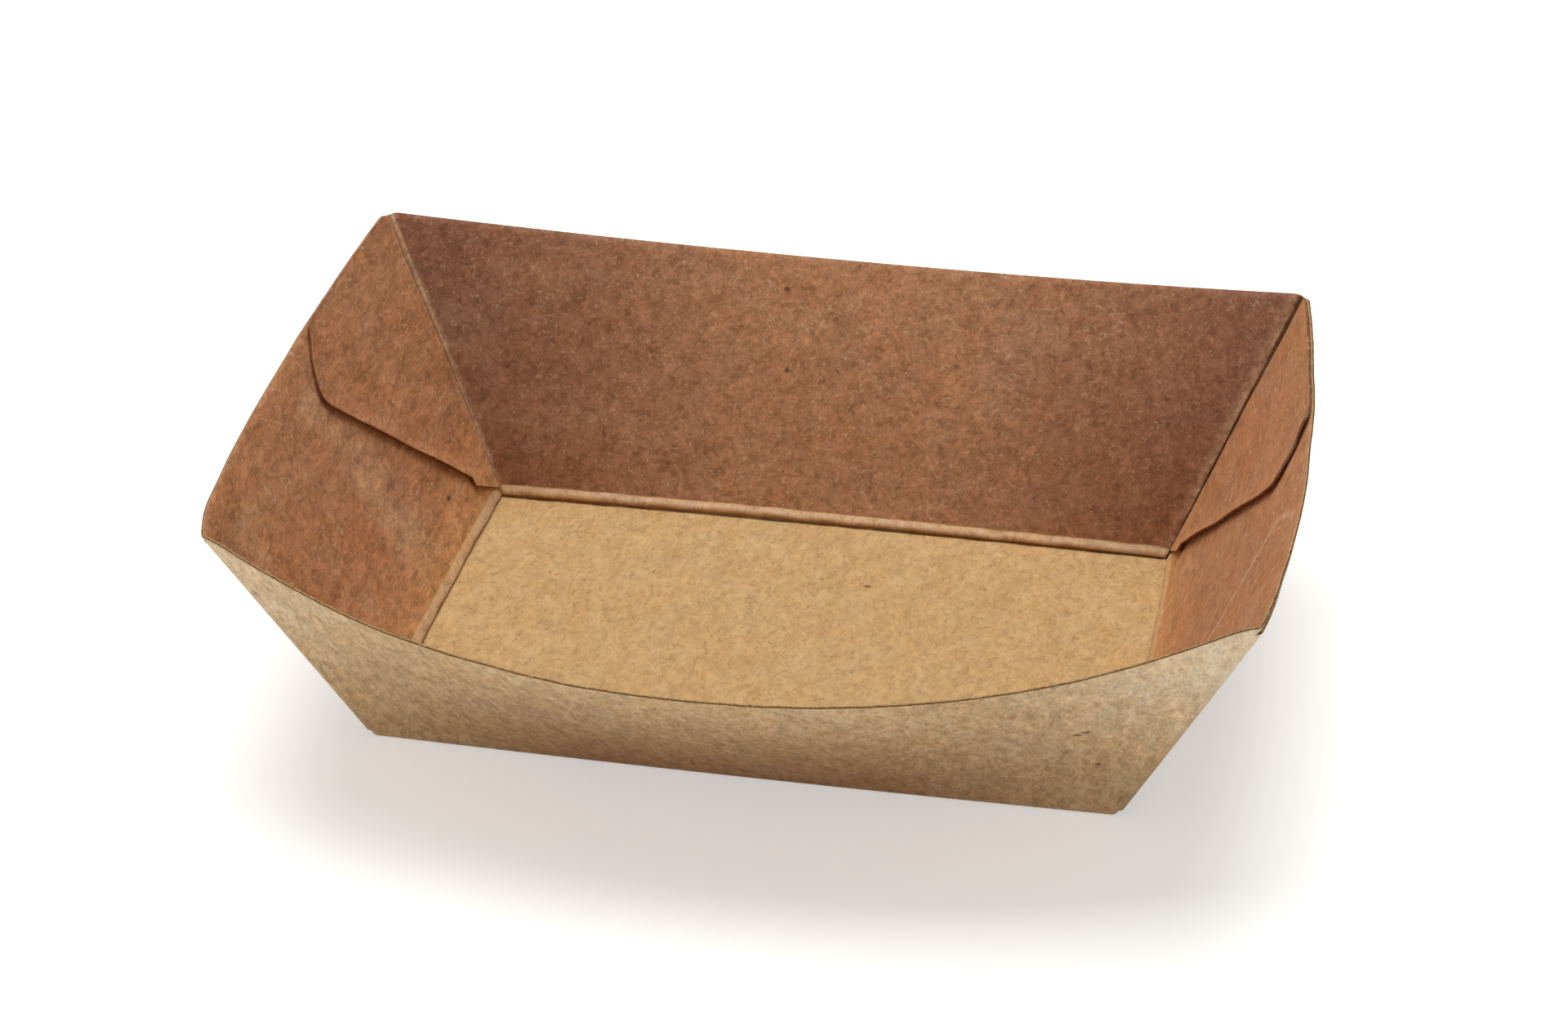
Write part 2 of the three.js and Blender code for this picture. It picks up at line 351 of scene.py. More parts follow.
def foldColumn(before, here, v):  # where the inside faces of two walls meet
    half = tray["board"] / 2
    a, b = wallNormal(before, 1.0, v), wallNormal(here, 0.0, v)
    c = np.sum(a * b, axis=-1, keepdims=True)
    return wallPoint(here, 0.0, v) + (a + b) * half / (1 + c)


def insideRing(v):
    columns = []
    root, reach = tray["foldRoot"], tray["foldRadius"]
    for before, here, kind, place in stations:
        away = root + (reach - root) * abs(place)
        if kind == "open":
            columns.append(insideColumn(here, place, v))
        elif place < 0:
            columns.append(insideColumn(before, 1 - away / before["baseRun"], v))
        elif place > 0:
            columns.append(insideColumn(here, away / here["baseRun"], v))
        else:
            columns.append(foldColumn(before, here, v))
    return np.array(columns)


def middleRing(v):
    columns = []
    reach = tray["foldRadius"]
    for before, here, kind, place in stations:
        if kind == "open":
            columns.append(wallPoint(here, place, v))
            continue
        start = wallPoint(before, 1 - reach / before["baseRun"], v)
        end = wallPoint(here, reach / here["baseRun"], v)
        columns.append(bezier(start, wallPoint(here, 0.0, v), end, (place + 1) / 2))
    return np.array(columns)


def ringNormals(grid):  # of a closed ring of columns, towards the inside
    along = np.roll(grid, -1, axis=0) - np.roll(grid, 1, axis=0)
    up = np.gradient(grid, axis=1)
    normal = np.cross(along, up)
    return normal / np.linalg.norm(normal, axis=-1, keepdims=True)


def outsideRing(slant):  # rounded at the base crease, then half a board outside the middle
    reach = tray["creaseRadius"]
    climb = gradedSteps(reach, slant, spacing["upOutside"])
    climb = np.concatenate([climb[:-1], [slant - tray["edgeSoftness"], slant]])
    middle = middleRing(climb / slant)
    crease = middleRing(np.array([0.0, reach / slant]))
    inward = ringNormals(crease)[:, 0] * np.array([1, 1, 0])
    flat = crease[:, 0] + inward / np.linalg.norm(inward, axis=-1, keepdims=True) * reach
    turn = np.linspace(0, 1, spacing["arcSteps"] + 1)[:-1]
    arc = [bezier(flat, crease[:, 0], middle[:, 0], t) for t in turn]
    whole = np.concatenate([np.stack(arc, axis=1), middle], axis=1)
    skin = ringNormals(whole)
    skin[:, 0] = (0, 0, 1)
    height = np.concatenate([np.zeros(len(turn)), climb])
    return whole - skin * (tray["board"] / 2) + skin * cockled(whole, height)[..., None], skin


class Shell:  # gathers points, faces and marks for one mesh
    def __init__(self):
        self.points, self.faces, self.kinds, self.marks = [], [], [], []
        self.count = 0

    def add(self, points, **marks):
        flat = points.reshape(-1, 3)
        row = np.zeros((len(flat), len(markNames)))
        for name, value in marks.items():
            row[:, markNames.index(name)] = np.broadcast_to(value, points.shape[:-1]).reshape(-1)
        self.points.append(flat)
        self.marks.append(row)
        ids = self.count + np.arange(len(flat)).reshape(points.shape[:-1])
        self.count += len(flat)
        return ids

    def quads(self, ids, flip=False, kind=0, closed=False):
        if closed:
            ids = np.concatenate([ids, ids[:1]])
        a, b, c, d = ids[:-1, :-1], ids[1:, :-1], ids[1:, 1:], ids[:-1, 1:]
        faces = np.stack([a, d, c, b] if flip else [a, b, c, d], axis=-1).reshape(-1, 4)
        self.faces.append(faces)
        self.kinds.append(np.full(len(faces), kind))

    def build(self, pieceName, materials):
        mesh = bpy.data.meshes.new(pieceName)
        mesh.from_pydata((np.concatenate(self.points) * mm).tolist(), [], np.concatenate(self.faces).tolist())
        kinds = np.concatenate(self.kinds).astype(np.int32)
        mesh.polygons.foreach_set("material_index", kinds)
        mesh.polygons.foreach_set("use_smooth", np.ones(len(kinds), bool))
        marks = np.concatenate(self.marks).astype(np.float32)
        for i, name in enumerate(markNames):
            mesh.attributes.new(name, "FLOAT", "POINT").data.foreach_set("value", marks[:, i])
        for material in materials:
            mesh.materials.append(material)
        mesh.set_sharp_from_angle(angle=math.radians(spacing["sharpAngle"]))
        mesh.update()
        piece = bpy.data.objects.new(pieceName, mesh)
        bpy.context.collection.objects.link(piece)
        return piece


def panelFrom(ring):  # fills the loop of crease points with a four-sided grid
    starts = []
    place = 0
    for wall in walls:
        starts.append(place + spacing["arcSteps"] // 2)
        place += spacing["arcSteps"] + 1 + len(wallStations(wall))
    starts.append(starts[0] + place)
    loop = np.concatenate([ring, ring])
    north, east, south, west = [loop[a : b + 1] for a, b in zip(starts[:-1], starts[1:])]
    south, east = south[::-1], east[::-1]
    x = np.linspace(0, 1, len(south))[:, None, None]
    y = np.linspace(0, 1, len(west))[None, :, None]
    ruled = south[:, None] * (1 - y) + north[:, None] * y + west[None] * (1 - x) + east[None] * x
    bottom = south[0] * (1 - x) + south[-1] * x
    top = north[0] * (1 - x) + north[-1] * x
    panel = ruled - bottom * (1 - y) - top * y
    panel[:, 0], panel[:, -1], panel[0], panel[-1] = south, north, west, east
    return panel


def flapOutline(flap):  # seen from the end: down its cut edge, round its tip, along its foot, down its step
    rimY, baseY = tray["rimWidth"] / 2, tray["baseWidth"] / 2
    top = np.array([rimY - flap["rimReach"], tray["rimHeight"] - tray["endSag"] - flap["rimGap"]])
    tip = np.array([rimY - flap["tipReach"], flap["tipHeight"]])
    step = np.array([baseY - flap["stepReach"], flap["stepHeight"]])
    below = step - np.array([flaps["stepSlant"], flap["stepDepth"]])
    before = tip + (top - tip) / np.linalg.norm(top - tip) * flap["tipRadius"]
    after = tip + (step - tip) / np.linalg.norm(step - tip) * flap["tipRadius"]
    cutSteps, turnSteps, footSteps, dropSteps = spacing["flapOutline"]
    cut = [top + (before - top) * t for t in np.linspace(0, 1, cutSteps)]
    turn = [bezier(before, tip, after, t) for t in np.linspace(0, 1, turnSteps)[1:]]
    foot = [after + (step - after) * t for t in np.linspace(0, 1, footSteps)[1:]]
    drop = [step + (below - step) * t for t in np.linspace(0, 1, dropSteps)[1:]]
    return np.array(cut + turn + foot + drop)


def pressDistance(points):  # from the edge of the flap glued behind, less than 0 where it backs the wall
    rimY, baseY = tray["rimWidth"] / 2, tray["baseWidth"] / 2
    outline = flapOutline(frontFlap)
    whole = np.concatenate([outline, [[baseY, 0], [rimY, tray["rimHeight"]]]])
    y, z = -points[..., 1], points[..., 2]
    best = np.full(y.shape, noPress)
    within = np.zeros(y.shape, bool)
    for i, ((ay, az), (by, bz)) in enumerate(zip(whole, np.roll(whole, -1, axis=0))):
        runY, runZ = by - ay, bz - az
        within ^= ((az > z) != (bz > z)) & (y < ay + (z - az) * runY / (runZ + 1e-9))
        if i < len(outline) - 1:
            t = np.clip(((y - ay) * runY + (z - az) * runZ) / (runY**2 + runZ**2), 0, 1)
            best = np.minimum(best, np.hypot(y - ay - t * runY, z - az - t * runZ))
    onEnd = np.abs(points[..., 0]) > np.interp(points[..., 2], *flaps["endPlane"])
    return np.where(onEnd, np.where(within, -best, best), noPress)


def beadWearAndLight(inside, middle, normal, rows):  # where the beads are paled: partly rubbed, partly painted light
    proud = np.sum((inside - middle) * normal, axis=-1) - tray["board"] / 2
    bead = np.clip(proud / wearAndPaintedLight["crest"], 0, 1) * (rows < wearAndPaintedLight["crestsUpTo"])
    ends = np.array([onEndWall(station) for station in stations])[:, None]
    bead = bead * np.where(ends & (inside[..., 0] > 0), wearAndPaintedLight["rightCrest"], 1)
    bead = bead * np.where(~ends & (rows > wearAndPaintedLight["foldCrestFrom"]), wearAndPaintedLight["foldCrest"], 1)
    # painted light in a band beside the back wall's right-hand fold
    atRightFold = [here is rightWall and kind == "corner" and place == 0 for _, here, kind, place in stations]
    toRight = np.linalg.norm(inside - inside[atRightFold.index(True)], axis=-1)
    reach, strength = wearAndPaintedLight["besideRightFoldLight"]
    bead = np.maximum(bead, ~ends * np.clip(1 - toRight / reach, 0, 1) * strength)
    # painted light up the back wall's left-hand fold, where the fold lies in shade
    atLeftFold = np.array([here is backWall and kind == "corner" for _, here, kind, _ in stations])
    return np.maximum(bead, atLeftFold[:, None] * wearAndPaintedLight["leftFoldLight"]), ends


def paintedCreaseShade(inside, rows):  # painted shade along the foot of the walls and up the right-hand fold
    atFold = [kind == "corner" and abs(place) < wearAndPaintedLight["rightFoldShade"] for _, _, kind, place in stations]
    atBackRight = (inside[:, 0, 0] > 0) & (inside[:, 0, 1] > 0)
    return np.maximum(np.interp(rows, *wearAndPaintedLight["creaseShade"]), (atFold & atBackRight)[:, None] * 1.0)


def foldSheet(shell):
    slant = leftWall["slant"]
    rows = gradedSteps(0, slant, spacing["upBead"], spacing["beadRun"])
    rows = np.concatenate([rows[:-1], [slant - tray["edgeSoftness"], slant]])
    inside = insideRing(rows / slant)
    middle = middleRing(rows / slant)
    normal = ringNormals(middle)
    inside = inside + normal * cockled(inside, rows)[..., None]
    outside, outsideNormal = outsideRing(slant)
    inside[:, -1] -= normal[:, -1] * tray["edgeSoftness"]
    outside[:, -1] += outsideNormal[:, -1] * tray["edgeSoftness"]
    bead, ends = beadWearAndLight(inside, middle, normal, rows)
    marks = {"bead": bead, "end": ends, "seam": paintedCreaseShade(inside, rows)}
    inner = shell.add(inside, wall=np.interp(rows, *wearAndPaintedLight["wallShadeTint"]), press=pressDistance(inside), **marks)
    shell.quads(inner, closed=True)
    shell.quads(shell.add(outside, outside=1, wall=1, press=noPress), flip=True, closed=True)
    rimRows = [shell.add(inside[:, -1] * (1 - t) + outside[:, -1] * t, across=t) for t in (0, 0.5, 1)]
    shell.quads(np.stack(rimRows, axis=1), kind=1, closed=True)
    # the base panel's inside dips beside its creases
    ring = inside[:, 0]
    weight = np.array([wall["trough"] for _, wall, _, _ in stations])
    weight = weight * (1 + troughWander * ripple(ring, beads["waveLength"], seeds["trough"]))
    collar = [ring]
    for distance, depth in trough:
        dip = ring * (1 - 2 * distance / tray["baseLength"], 1 - 2 * distance / tray["baseWidth"], 0)
        dip[:, 2] = tray["board"] - depth * weight
        collar.append(dip)
    # painted shade in the trough beside the creases
    seam = np.outer(weight, [1.0] + [depth / trough[0][1] for _, depth in trough]) * wearAndPaintedLight["troughShade"]
    shell.quads(shell.add(np.stack(collar, axis=1), seam=seam, press=noPress), flip=True, closed=True)
    panel = panelFrom(collar[-1])
    fromEnd = tray["baseLength"] / 2 - np.abs(panel[..., 0])
    fromSide = tray["baseWidth"] / 2 - np.abs(panel[..., 1])
    still = np.interp(np.minimum(fromEnd, fromSide), tray["panelBorder"], [0, 1])
    panel[..., 2] += tray["panelWave"] * ripple(panel, tray["panelWaveLength"], seeds["panel"]) * still
    shell.quads(shell.add(panel, press=noPress))
    shell.quads(shell.add(panelFrom(outside[:, 0]), outside=1, press=noPress), flip=True)


def endWallPlace(wall, y, z):  # u and v on an end wall, for a place seen from the end
    u = np.full(len(y), 0.5)
    v = z / tray["rimHeight"]
    for _ in range(12):  # a dozen rounds settle it
        here = wallPoint(wall, u, v)
        du = (wallPoint(wall, u + nudge, v) - here) / nudge
        dv = (wallPoint(wall, u, v + nudge) - here) / nudge
        offY, offZ = y - here[:, 1], z - here[:, 2]
        det = du[:, 1] * dv[:, 2] - du[:, 2] * dv[:, 1]
        u = np.clip(u + (offY * dv[:, 2] - offZ * dv[:, 1]) / det, *flaps["wallReach"])
        v = np.clip(v + (offZ * du[:, 1] - offY * du[:, 2]) / det, *flaps["wallReach"])
    return u, v


def cornerTurn(foldU, v, end):  # the board's outer face turning from the front wall to a front flap
    frontU = 1.0 if foldU < 0.5 else 0.0
    endWall = leftWall if foldU < 0.5 else rightWall
    nearU = abs(frontU - (tray["foldRadius"] + flaps["turnOverlap"]) / frontWall["baseRun"])
    skin = -tray["board"] / 2 - frontFlap["seat"]
    flapSkin = skin - tray["board"]
    start = wallPoint(frontWall, nearU, v) + wallNormal(frontWall, nearU, v) * skin
    a, b = wallNormal(frontWall, frontU, v), wallNormal(endWall, 1 - frontU, v)
    c = np.sum(a * b, axis=-1, keepdims=True)
    peak = wallPoint(frontWall, frontU, v) + a * (skin - c * flapSkin) / (1 - c * c)
    peak = peak + b * (flapSkin - c * skin) / (1 - c * c)
    return np.stack([bezier(start, peak, end, t) for t in np.linspace(0, 1, spacing["arcSteps"] + 1)[:-1]])


def flapFaces(wall, flap, sy, side):  # its upper face, its face towards the wall, and the way to its fold
    outline = flapOutline(flap)
    u, v = endWallPlace(wall, sy * outline[:, 0], outline[:, 1])
    v[0] = 1 - flap["rimGap"] / wall["slant"]
    run = np.concatenate([[0], np.cumsum(np.hypot(*np.diff(outline, axis=0).T))])
    foldV = v[0] + (flaps["foldFoot"] - v[0]) * run / run[-1]
    foldU = 0.0 if (sy > 0) == (wall is rightWall) else 1.0
    inset = flap["foldInset"] / wall["baseRun"]
    foldU += inset if foldU == 0 else -inset
    across = np.concatenate([spacing["flapStart"], spacing["flapMiddle"], spacing["flapEnd"]])
    gridU = foldU + np.outer(across, u - foldU)
    gridV = foldV + np.outer(across, v - foldV)
    middle = wallPoint(wall, gridU, gridV)
    normal = wallNormal(wall, gridU, gridV) * side
    toEdge = np.linalg.norm(middle - middle[-1:], axis=-1)
    toFold = np.linalg.norm(middle - middle[:1], axis=-1)
    wander = 1 + flaps["liftWander"] * ripple(middle, flaps["liftWanderLength"], seeds["flapLift"])
    lift = flap["lift"] * np.clip(1 - toEdge / flap["liftReach"], 0, 1) ** 2 * wander
    lift = lift * np.clip(toFold / flaps["liftFromFold"], 0, 1)
    under = tray["board"] / 2 + flap["seat"] + lift + cockled(middle, gridV * wall["slant"]) * side
    thickness = np.interp(toFold, *flaps["foldThickness"]) if side > 0 else 1
    top = middle + normal * (under + thickness * tray["board"])[..., None]
    low = middle + normal * under[..., None]
    top[-1] -= normal[-1] * tray["edgeSoftness"]
    if side < 0:
        turn = cornerTurn(foldU, foldV, top[0])
        top = np.concatenate([turn, top])
        low = np.concatenate([turn * flaps["turnSkin"], low])
    return top, low, toFold, foldU


def foldFlap(shell, wall, flap, sy, side):  # side is 1 for a flap inside the tray and -1 for one outside
    top, low, toFold, foldU = flapFaces(wall, flap, sy, side)
    flip = (side > 0) != (foldU < 0.5)
    away = 0.0 if side > 0 else 1.0
    # painted shade along the fold of a right-hand flap, painted light along a left-hand one
    root = np.interp(toFold, *wearAndPaintedLight["flapFoldLightAndShade"]) if side > 0 else 0
    marks = {"seam": root} if wall is rightWall else {"bead": root * wearAndPaintedLight["flapFoldLight"]}
    shared = {"wall": 1, "end": 1, "press": noPress}
    shell.quads(shell.add(top, outside=away, **shared, **marks), flip=not flip)
    shell.quads(shell.add(low, outside=1 - away, **shared), flip=flip)
    tone = away * flaps["cutTone"]
    # painted shade on the cut edge at a right-hand flap's fold
    foldShade = 1 if wall is rightWall else 0
    # the cut edges of a flap inside the tray carry painted shadow
    edges = [
        (top[-1], low[-1], True, 1),
        (top[0], low[0], False, foldShade),
        (top[:, 0], low[:, 0], False, 1),
        (top[:, -1], low[:, -1], True, 1),
    ]
    for upper, lower, turned, dark in edges:
        dark = dark * side
        upperIds = shell.add(upper, across=tone, seam=wearAndPaintedLight["flapEdgeShadow"] * dark, **shared)
        lowerIds = shell.add(lower, across=0.5 - tone, seam=dark, **shared)
        kind = 0 if side > 0 else 1
        shell.quads(np.stack([upperIds, lowerIds], axis=1), flip=flip != turned, kind=kind)


# kraft board and its cut edge, as linear colours
finish = {
    "base": (0.55, 0.348, 0.152),
    # the inside walls are painted darker and redder than the base panel of the same board, as painted shade
    "inside": (0.42, 0.193, 0.09),
    "insideFlap": (0.464, 0.207, 0.093),  # the end walls and their flaps
    "insideLow": (0.60, 0.30, 0.125),  # paler along the foot of an end wall
    "insideEndShade": (0.285, 0.122, 0.067),  # painted shade towards the ends of the back wall
    "outside": (0.605, 0.412, 0.222),
    "outsidePaintedLight": (0.86, 0.69, 0.475),  # painted light towards the top of the near wall's two ends
    "outsideShadeAndStreaks": (0.325, 0.168, 0.072),  # painted shade, browner towards the middle of the foot; also the colour of the outside streaks
    "darkFibre": (0.22, 0.11, 0.04),
    "lightFibre": (0.80, 0.62, 0.37),
    "bark": (0.07, 0.025, 0.016),
    # pale beads, partly worn and partly painted light; also the painted highlight along a pressed line
    "wornAndLitCrest": (0.69, 0.455, 0.265),
    "seam": (0.10, 0.037, 0.01),  # painted shade down in the creases, up the right-hand back fold and under the flaps' cut edges
    # a cut edge runs from light at its inner side to dark at its outer side: partly the die's burnish, partly
    # painted shade
    "cutLight": (0.56, 0.40, 0.21),
    "cutDark": (0.15, 0.077, 0.019),
    "warmTint": (1.03, 0.985, 0.92),
    "coolTint": (0.975, 1.01, 1.06),
    "roughness": (0.86, 0.72),  # of the darker and the paler pulp
    "relief": 0.026,  # mm, of the fibres, and of anything else in their bump
    "specular": 0.25,
    "cutRelief": 0.06,  # mm, on the cut edges
    "cutSpecular": 0.03,
}

# where the board's colours change, in millimetres from the tray's middle or up from the table
zones = {
    # painted shade towards the ends of the back wall, painted shade low in the middle of the near wall and
    # painted light at its top ends
    "endShadeAlong": (16.0, 62.0),
    "footUp": (1.0, 13.0),
    "lowShadeAlong": (20.0, 62.0),
    "lowShadeUp": (2.0, 32.0),
    "paintedLightAlong": (44.0, 68.0),
    "paintedLightUp": (12.0, 36.0),
    "streaksUp": (6.0, 30.0),
    "leftToRight": (-50.0, 50.0),
    "rightEnd": (30.0, 54.0),
    "paintedLightMask": (0.0, 0.9),  # masks of the mesh and of the painted light at the near wall's ends, and not millimetres
    "wallMask": (0.3, 1.0),
    "wallFrom": 0.6,
}

# how strongly each mark shows, with a pair where it changes from one place to another
shown = {
    # painted light towards the top ends of the near wall
    "paintedLight": (0.0, 0.9),
    "paintedLightSides": (0.5, 1.0),  # the painted light's strength at the left, right
    "streaks": 0.16,
    "streaksUp": (1.0, 0.25),
    # the pale beads, worn and with painted light
    "streakRelief": 0.8,
    # the painted shade in creases, folds and under cut edges
    "wornAndLitCrest": 0.8,
    "seam": 0.92,
    "pressWidth": (0.45, 1.1),  # mm, left and right
    # painted highlight along the pressed line, left and right
    "pressed": (0.22, 0.6),
    "pressRelief": 1.6,
    "bark": 0.8,
    "barkEdge": (0.5, 1.0),  # a speck fades from half way out
    "mottle": (1.0, 2.1),  # base, walls
    "smoother": (0.1, 0.35),  # taken off the mottle outside, and where light is painted
    "rightEndMottle": 0.6,
    "outsideDark": 0.65,
    "calmLight": 0.4,  # the light fibres show less anywhere but inside the walls
}

# the few bark specks large enough to notice: (place, half lengths), in millimetres
bark = [
    ((-11.2, 57.0, 28.9), (0.5, 1.2, 0.42)),
    ((-9.6, 48.8, 18.9), (0.55, 1.2, 0.5)),
    ((-57.4, 19.2, 7.9), (1.1, 0.75, 0.45)),
    ((9.2, 17.1, 0.45), (0.8, 0.4, 0.6)),
    ((49.2, -43.9, 20.8), (0.9, 1.1, 0.36)),
    ((50.4, -44.3, 21.4), (0.8, 1.1, 0.36)),
    ((51.6, -38.8, 12.6), (0.5, 1.1, 0.42)),
]

# the noises that the pulp is made of: cycles for each millimetre, detail, roughness, distortion
noises = {
    "drift": (0.13, 2.0, 0.5, 0.0),
    "cloud": (0.42, 2.0, 0.5, 0.0),
    "mottle": (0.95, 3.0, 0.6, 0.8),
    "fine": (4.2, 2.0, 0.6, 0.0),
    "strand": (0.62, 1.0, 0.5, 1.6),
    "breaks": (1.178, 1.0, 0.5, 0.0),
    "streaks": (1.0, 3.0, 0.6, 0.3),
    "ragged": (2.2, 3.0, 0.6, 0.0),
}

# how strong the marks in the pulp are, and their sizes
fibre = {
    "elsewhere": (37.0, 11.0, 53.0),  # the second set of noises is drawn from there
    "strandWidth": {"Dark": 0.06, "Light": 0.04},
    "breaks": (0.5, 0.6),
    "speckScale": 0.7,
    "specks": 0.85,
    "darkSpecks": (0.965, 0.2),  # the share of the board without one, and their size
    "lightSpecks": (0.984, 0.13),
    "speckCore": 0.5,  # the share of a speck that is as dark or light as its middle
    "cloud": 0.37,
    "mottle": 0.72,
    "fine": 0.27,
    "tintRange": (0.8, 1.2),
    "roughnessRange": (0.3, 0.7),
    "darkStrands": 0.42,
    "lightStrands": 0.34,
    "fineRelief": 0.5,
    "lightRelief": 0.45,
    "darkRelief": 0.25,
    # how much the marks are squeezed along each axis: less than 1 draws them out
    "baseGrain": (1.0, 0.58, 1.0),
    "endGrain": (1.0, 0.42, 0.85),
    "outsideGrain": (1.3, 0.5, 0.7),
    "streakGrain": (0.05, 0.05, 0.9),
    "ragged": 0.8,
    "cutDarkens": (0.15, 0.4),  # how far across the cut edge it darkens: partly the die's burnish, partly painted shade
}
cutPulp = {"Mottle": 1.3, "Dark": 0.8, "Light": 0.5, "Specks": 0.4}


def addNode(tree, kind, inputs=None, **settings):
    node = tree.nodes.new("ShaderNode" + kind)
    for name, value in settings.items():
        setattr(node, name, value)
    for name, value in (inputs or {}).items():
        if isinstance(value, bpy.types.NodeSocket):
            tree.links.new(value, node.inputs[name])
        else:
            node.inputs[name].default_value = value
    return node


def calc(tree, operation, *values):
    return addNode(tree, "Math", dict(enumerate(values)), operation=operation).outputs[0]


def calcVector(tree, operation, first, second):
    return addNode(tree, "VectorMath", {0: first, 1: second}, operation=operation).outputs[0]


def scaled(tree, vector, factor):
    return addNode(tree, "VectorMath", {0: vector, "Scale": factor}, operation="SCALE").outputs[0]


def inMillimetres(tree):  # where on the tray a point is
    return scaled(tree, addNode(tree, "TexCoord").outputs["Object"], 1 / mm)


def span(tree, value, fromLow, fromHigh, toLow, toHigh):
    inputs = {"Value": value, "From Min": fromLow, "From Max": fromHigh, "To Min": toLow, "To Max": toHigh}
    return addNode(tree, "MapRange", inputs).outputs[0]


def mixColour(tree, amount, first, second, how="MIX"):
    inputs = {0: amount, 6: first, 7: second}
    return addNode(tree, "Mix", inputs, data_type="RGBA", blend_type=how).outputs[2]


def noise(tree, place, name):
    inputs = dict(zip(("Scale", "Detail", "Roughness", "Distortion"), noises[name]))
    return addNode(tree, "TexNoise", {"Vector": place, **inputs}).outputs[0]


def mark(tree, name):
    return addNode(tree, "Attribute", attribute_name=name).outputs["Fac"]


def solid(colour):
    return (*colour, 1)


def fibreSockets(group):
    wanted = {"Colour": solid(finish["base"]), "Mottle": 1.0, "Dark": 1.0, "Light": 1.0, "Specks": 1.0}
    for name, value in wanted.items():
        kind = "NodeSocketColor" if name == "Colour" else "NodeSocketFloat"
        group.interface.new_socket(name=name, in_out="INPUT", socket_type=kind).default_value = value
    grain = group.interface.new_socket(name="Grain", in_out="INPUT", socket_type="NodeSocketVector")
    grain.default_value = (1, 1, 1)
    for name in ("Colour", "Roughness", "Height"):
        kind = "NodeSocketColor" if name == "Colour" else "NodeSocketFloat"
        group.interface.new_socket(name=name, in_out="OUTPUT", socket_type=kind)
    return group.nodes.new("NodeGroupInput").outputs, group.nodes.new("NodeGroupOutput").inputs


def kraftFibreGroup():
    group = bpy.data.node_groups.new("kraftFibres", "ShaderNodeTree")
    given, result = fibreSockets(group)
    place = calcVector(group, "MULTIPLY", inMillimetres(group), given["Grain"])
    elsewhere = calcVector(group, "ADD", place, fibre["elsewhere"])

    # the pulp: cloudy, mottled and fine grained
    drift = noise(group, place, "drift")
    cloud = noise(group, elsewhere, "cloud")
    mottle = noise(group, place, "mottle")
    fine = noise(group, elsewhere, "fine")
    shade = calc(group, "MULTIPLY", calc(group, "SUBTRACT", cloud, 0.5), fibre["cloud"])
    shade = calc(group, "MULTIPLY_ADD", calc(group, "SUBTRACT", mottle, 0.5), fibre["mottle"], shade)
    shade = calc(group, "MULTIPLY_ADD", calc(group, "SUBTRACT", fine, 0.5), fibre["fine"], shade)
    shade = calc(group, "MULTIPLY_ADD", shade, given["Mottle"], 1.0)
    cool = span(group, calc(group, "ADD", drift, cloud), *fibre["tintRange"], 0.0, 1.0)
    tint = mixColour(group, cool, solid(finish["warmTint"]), solid(finish["coolTint"]))
    colour = mixColour(group, 1.0, given["Colour"], tint, "MULTIPLY")
    colour = scaled(group, colour, shade)

    # thin curved strands, dark and light, broken into short lengths
    strands = []
    for shift, part, name in ((place, "Dark", "darkFibre"), (elsewhere, "Light", "lightFibre")):
        edge = calc(group, "ABSOLUTE", calc(group, "SUBTRACT", noise(group, shift, "strand"), 0.5))
        line = span(group, edge, 0.0, fibre["strandWidth"][part], 1.0, 0.0)
        broken = span(group, noise(group, shift, "breaks"), *fibre["breaks"], 0.0, 1.0)
        line = calc(group, "MULTIPLY", line, broken)
        strands.append(line)
        strength = calc(group, "MULTIPLY", given[part], fibre[part.lower() + "Strands"])
        colour = mixColour(group, calc(group, "MULTIPLY", line, strength), colour, solid(finish[name]))

    # bark specks and white flecks
    for shift, part in ((place, "dark"), (elsewhere, "light")):
        chance, size = fibre[part + "Specks"]
        cells = addNode(group, "TexVoronoi", {"Vector": shift, "Scale": fibre["speckScale"]})
        chosen = calc(group, "GREATER_THAN", cells.outputs["Color"], chance)
        core = size * fibre["speckCore"]
        near = span(group, cells.outputs["Distance"], core, size, fibre["specks"], 0.0)
        seen = calc(group, "MULTIPLY", chosen, calc(group, "MULTIPLY", near, given["Specks"]))
        colour = mixColour(group, seen, colour, solid(finish[part + "Fibre"]))

    height = calc(group, "MULTIPLY_ADD", fine, fibre["fineRelief"], mottle)
    height = calc(group, "MULTIPLY_ADD", strands[1], fibre["lightRelief"], height)
    height = calc(group, "MULTIPLY_ADD", strands[0], fibre["darkRelief"], height)
    group.links.new(colour, result["Colour"])
    roughness = span(group, mottle, *fibre["roughnessRange"], *finish["roughness"])
    group.links.new(roughness, result["Roughness"])
    group.links.new(height, result["Height"])
    return group


fibres = kraftFibreGroup()


def newMaterial(name):
    material = bpy.data.materials.new(name)
    material.use_nodes = True
    tree = material.node_tree
    shader = tree.nodes["Principled BSDF"]
    shader.inputs["Specular IOR Level"].default_value = finish["specular"]
    return material, tree, shader


# the inside walls' colour: painted shade, darkest towards the ends of the back wall, and paler along the foot
# of an end wall
def insideColour(tree, onEnd, toEnd, height):
    endShade = span(tree, toEnd, *zones["endShadeAlong"], 0.0, 1.0)
    sideColour = mixColour(tree, endShade, solid(finish["inside"]), solid(finish["insideEndShade"]))
    foot = span(tree, height, *zones["footUp"], 1.0, 0.0)
    endColour = mixColour(tree, foot, solid(finish["insideFlap"]), solid(finish["insideLow"]))
    return mixColour(tree, onEnd, sideColour, endColour)


